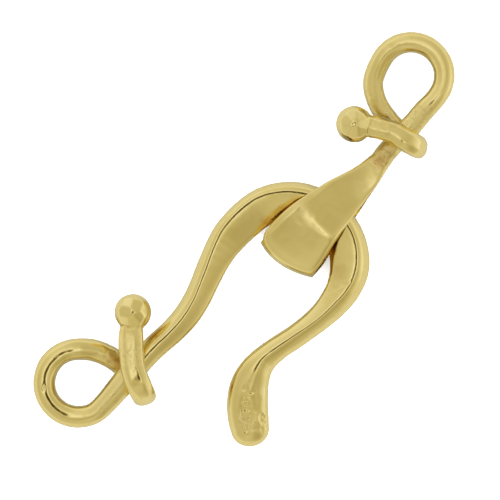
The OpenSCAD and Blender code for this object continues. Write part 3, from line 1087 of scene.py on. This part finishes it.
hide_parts("hook")


# The eye's plate.
# A strip of the same gold, folded back on itself so that its two layers leave a slot for the
# hook's bar. The layers close beyond the bar and are soldered to the neck.
eye_length = 15.98
plate_reach = 9.9
plate_w, plate_t = 4.84, 0.75
fold_back, fold_bow, fold_skew, fold_h = 0.84, 0.60, 0.24, 3.0
slot_gap = 0.25
eye_neck_w, eye_neck_t = 1.66, 1.5
eye_wire_d, eye_ring_d = 1.60, 3.41
eye_ring_r = (eye_ring_d + eye_wire_d) / 2
# The eye's neck lies a little nearer to its ring's middle than the hook's
eye_neck_drop = 0.985 * neck_drop
eye_low = ring_rise - eye_neck_drop
eye_wrap = (eye_neck_t + strand_t) / 2 - solder_bite
# The crest is where the bar lies inside. It starts this share of the bar's width before the bend.
crest_lead = 0.4
crest_h = bar_t + 2 * (slot_gap + plate_t)
crest_start, crest_end = bend_r - crest_lead * bar_w, bend_r + bar_w / 2
fold_end = fold_h / 2 - fold_back
# Shape of the strip's cross-section, and how soon the neck's oval turns into it
STRIP, strip_fade = 11.0, 8
# Upper corner of the folded end: how far past fold_end its rounding starts, its length and depth
corner_past, corner_long, corner_cut = 0.9, 0.6, 0.26
# How far from the plate's middle the bow goes on, in half widths
bow_past = 1.2
# Slant of the plate's upper edge: its width, the least of it, its slope, and where along X it
# starts and ends
bevel_w, bevel_least, bevel_slope = 0.52, 0.02, 0.42
bevel_start, bevel_end = (-1.0, 0.6), (4.5, 8.0)
# Lean of the plate: where along X it ends, its slope at mid height and the change of that from
# the back layer to the front, its shift to the side, and its axis as a share of eye_low
lean_end = (6.5, 9.5)
lean_slope, lean_change, lean_shift, lean_axis = 0.102, 0.008, 0.06, 0.45

# along the stretch, across as a share of eye_low, width from the neck's to the plate's, height
# from the stretch's own to the crest's, height of the slot
fold_rows = [
    (0.00, 0.32, 0.99, 0.00, 0.60),
    (0.33, 0.40, 0.95, 0.35, 0.71),
    (0.66, 0.46, 0.88, 0.60, 0.82),
    (1.00, 0.49, 0.80, 0.78, 0.90),
]
crest_rows = [
    (0.50, 0.50, 0.67, 0.13, 0.90),
    (1.00, 0.50, 0.53, -0.50, 0.76),
]
plate_rows = [
    (0.20, 0.49, 0.41, 0.240, 0.56),
    (0.41, 0.48, 0.27, 0.096, 0.40),
    (0.62, 0.48, 0.16, -0.030, 0.24),
    (0.82, 0.53, 0.07, -0.130, 0.08),
    (1.00, 0.60, 0.00, -0.190, 0.00),
]
plate_middle = eye_low * fold_rows[0][1]
# place, across, width, height, height of the slot
plate_run = [
    (mix(start, end, along), eye_low * across, wide, mix(low, crest_h, height), slot)
    for rows, start, end, low in (
        (fold_rows, fold_end, crest_start, fold_h),
        (crest_rows, crest_start, crest_end, fold_h),
        (plate_rows, crest_end, plate_reach, eye_neck_t),
    )
    for along, across, wide, height, slot in rows
]
# along from the plate's end to the ring, across, depth
neck_rows = [
    (0.04, 0.63, 0.06),
    (0.13, 0.71, 0.02),
    (0.35, 0.805, 0.00),
    (0.58, 0.85, 0.00),
    (0.80, 0.97, 0.03),
]
neck_places = [
    (mix(plate_reach, eye_length, along), eye_low * across) for along, across, _ in neck_rows
]


def bowed(points):
    """The folded end's corners lie ahead of its middle, the lower one more, and the upper one is
    rounded off."""
    x, y = points[..., 0], points[..., 1]
    v = np.clip((y - plate_middle) * 2 / plate_w, -bow_past, bow_past)
    share = 1 - step_of(x, -fold_back, crest_end)
    end = np.clip((fold_end - corner_past - x) / corner_long, 0, 1) ** 2
    moved = points.copy()
    moved[..., 0] += share * (fold_bow * v * v - fold_skew / 2 * v)
    moved[..., 1] -= corner_cut * end * np.clip(v, 0, 1)
    return moved


def bevelled(rings):
    """The file has taken the upper edge of the plate's face off at a slant."""
    x, y, z = rings[..., 0], rings[..., 1], rings[..., 2]
    edge, top = y.max(axis=1, keepdims=True), z.max(axis=1, keepdims=True)
    middle = x.mean(axis=1, keepdims=True)
    band = bevel_w * (1 - ramp_of(middle, *bevel_end)) * ramp_of(middle, *bevel_start)
    cut = top - bevel_slope * np.clip(y - (edge - band), 0, None)
    made = rings.copy()
    made[..., 2] = np.where(band > bevel_least, np.minimum(z, cut), z)
    return made


def leaning(points):
    """The plate's top leans a little towards its lower edge, where the back layer shows."""
    x, y, z = points[..., 0], points[..., 1], points[..., 2]
    share = eased(1 - ramp_of(x, *lean_end))
    slope = lean_slope + lean_change * np.tanh(z)
    moved = points.copy()
    moved[..., 2] += slope * share * (y - eye_low * lean_axis)
    moved[..., 1] += lean_shift * share * z
    return moved


eye_body = []
for x, y, wide, tall, slot in plate_run:
    shape = mix(OVAL, STRIP, step_of(strip_fade * wide, 0, 1))
    eye_body.append(section((x, y), mix(eye_neck_w, plate_w, wide), tall, 0, shape, shape))
eye_body += [
    section((x, y, -depth * eye_wrap), eye_neck_w, eye_neck_t)
    for (x, y), (_, _, depth) in zip(neck_places, neck_rows)
]

# The slot is cut through the plate from side to side and reaches past both, slot_past half widths
# out from the middle. Its outline goes from where the layers close back to the fold's round
# inside, above the middle and then below it, where it is higher than slot_least.
slot_fine, slot_least = 12, 0.1
slot_past, slot_slices = 1.4, 57
slot_rows = [(x, slot * (bar_t / 2 + slot_gap), 0) for x, _, _, _, slot in plate_run]
slot_top = [(x, h) for x, h, _ in drawn_curve(slot_rows, slot_fine) if h > slot_least]
inner_r = fold_h / 2 - plate_t
slot_round = [
    (fold_end - inner_r * sine, inner_r * cosine)
    for cosine, sine in (turned(turn) for turn in range(10, 90, 10))
]
slot_side = [(slot_top[-1][0] + plate_t / 2, 0), *slot_top[::-1], *slot_round]
slot_side.append((fold_end - inner_r, 0))
slot_outline = np.array(slot_side + [(x, -h) for x, h in slot_side[-2:0:-1]])
slot_slice_y = plate_middle + np.linspace(slot_past, -slot_past, slot_slices) * plate_w / 2
slot_rings = np.array(
    [bowed(np.array([(x, y, z) for x, z in slot_outline])) for y in slot_slice_y]
)


# The eye's neck, ring, tie and ball.
# The same wire work as on the hook, of finer wire and turned the other way round: the neck
# makes the ring, goes behind itself, folds up and ends over its own front in a ball.
eye_tie_w = 1.8
eye_fold_out, eye_fold_gap = 3.22, 0.1
eye_ball_out, eye_ball_up = 5.6, 0.2
eye_ring_at = np.array([eye_length, ring_rise])
# The columns of these tables, and of those for the gold, are as for the hook
eye_ring_rows = [
    (265, 0.10),
    (240, 0.195),
    (215, 0.295),
    (190, 0.39),
    (165, 0.49),
    (140, 0.585),
    (115, 0.68),
    (90, 0.78),
    (65, 0.88),
]
eye_strand_rows = [
    (0.918, 0.662, 0.97),
    (1.185, 0.305, 1.00),
    (1.325, -0.082, 1.00),
    (1.380, -0.490, 0.99),
    (1.380, -0.870, 0.99),
]
# Distance between the eye's cross-sections, over how much they are eased, and their corners
eye_step, eye_ease, eye_around = 0.10, 0.22, 132
# Shape of the fold's round end, which is boxier than a circle
fold_shape = 0.5
# Where across the plate ends, as a share of eye_low
plate_end_across = 0.55

eye_fold_x = eye_ring_at[0] - eye_fold_out
eye_neck_y = np.interp(eye_fold_x, *np.array(neck_places).T)
eye_fold = np.array([eye_fold_x, eye_neck_y - eye_neck_w / 2 - eye_fold_gap - strand_t / 2])
eye_ball = np.array(
    [eye_ring_at[0] - eye_ball_out, ring_rise + eye_ball_up, ball_height * eye_wrap]
)
eye_ring = ring_of(eye_ring_at, -1, eye_ring_r, eye_wire_d, eye_wrap, OVAL, eye_ring_rows)
eye_tie = tie_of(
    eye_ring_at, -1, eye_ring_r, eye_wire_d, eye_wrap, eye_strand_rows, eye_fold, eye_tie_w,
    eye_ball,
)
eye_run = with_ball(eye_body + eye_ring + eye_tie, eye_ball, eye_tie_w, eye_step, eye_ease)
eye_run = capped(eye_run, fold_h / 2, shape=fold_shape, narrowed=0.0)
eye_rings = swept_rings(eye_run, eye_around)
plate_end = 1 + parted(eye_rings, np.array([plate_reach, eye_low * plate_end_across, 0]))
eye_rings[:plate_end] = leaning(bowed(bevelled(eye_rings[:plate_end])))
eye_split = parted(eye_rings, np.array([eye_ring_at[0] + eye_ring_r, ring_rise, 0]))
eye = soldered(
    "eye_folded",
    skinned("eye_body", eye_rings[: eye_split + 1]),
    (skinned("eye_wrap", eye_rings[eye_split - 1 :]), "UNION"),
    (skinned("slot", slot_rings), "DIFFERENCE"),
)
eye_spots = [
    (10.6, 1.1, 1.1, 0.045),
    (11.9, 1.4, 1.2, 0.035),
    (11.6, 2.6, 1.6, 0.035),
    (12.4, 4.6, 1.3, 0.025),
    (10.4, 4.2, 1.4, 0.020),
    (16.6, 6.6, 2.4, 0.010),
    (15.5, 1.5, 2.2, 0.014),
    (3.6, 0.8, 1.8, 0.016),
]
eye_marks = [
    (10.28, 4.20, 45, 0.13, 0.10, 0.06, 2),
    (16.3, 6.7, 0, 0.30, 0.25, 0.03, 2),
    (9.98, 0.78, 85, 0.60, 0.10, 0.07, 2),
    (10.25, 1.0, 95, 0.50, 0.10, 0.05, 2),
]
eye_flats = [
    (60, 33, 0.115),
    (118, 30, 0.125),
    (172, 34, 0.120),
    (225, 30, 0.125),
    (270, 36, 0.110),
    (318, 31, 0.125),
    (8, 36, 0.115),
    (90, 64, 0.070),
    (200, 64, 0.070),
    (300, 62, 0.060),
]
hammered(eye, eye_spots, eye_marks, eye_ball, eye_flats)

eye_stains = [
    (9.85, 0.8, 0.6, 0.7, 1.0),
    (10.6, 1.0, 0.4, 1.1, 0.5),
    (12.3, 2.0, 0.2, 1.2, 0.6),
]
eye_rough = [
    (10.6, 1.1, 0.5, 1.3, 1.0),
    (12.3, 2.2, 0.5, 1.6, 0.8),
    (12.0, 4.0, 0.0, 1.4, 0.6),
    (14.2, 1.3, 0.4, 1.8, 0.4),
]
eye_soft = [
    (17.4, 4.0, -0.3, 4.5, 0.25),
    (3.3, 2.4, 2.0, 0.9, 0.7),
    (14.3, 1.3, 0.6, 1.5, 0.6),
    (13.35, 5.1, -0.4, 1.3, 0.8),
    (12.7, 4.0, -0.6, 1.2, 0.8),
]
eye.data.materials.clear()
eye.data.materials.append(gold_of("eye_gold", eye_stains, eye_rough, eye_soft))
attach(eye, "eye")
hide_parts("eye")
